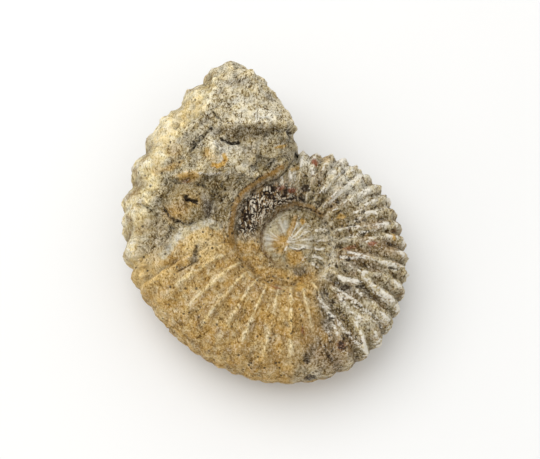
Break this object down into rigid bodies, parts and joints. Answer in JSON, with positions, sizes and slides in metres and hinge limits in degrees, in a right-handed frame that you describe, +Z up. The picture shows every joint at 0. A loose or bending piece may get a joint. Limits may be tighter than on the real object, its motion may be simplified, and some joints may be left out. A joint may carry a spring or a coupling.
{
  "type": "ammonite fossil",
  "caption": "Natural ammonite fossil: a ribbed spiral shell turned to tan and grey stone, lying flat on its side, with a rough broken rock mouth and a deep umbilicus.",
  "frame": {"origin": "on the floor plane, under the middle of the bounding box", "axes": "+Z up, at right angles to the face the stone rests on; +Y towards the broken mouth, along the longest side; +X to the right as seen from above with the mouth at the top"},
  "size_m": [0.0768, 0.0888, 0.0355],
  "materials": {
    "fossil_stone": "rough, matt"
  },
  "bodies": {
    "root": {"ammonite_fossil": "fossil_stone"}
  },
  "joints": []
}
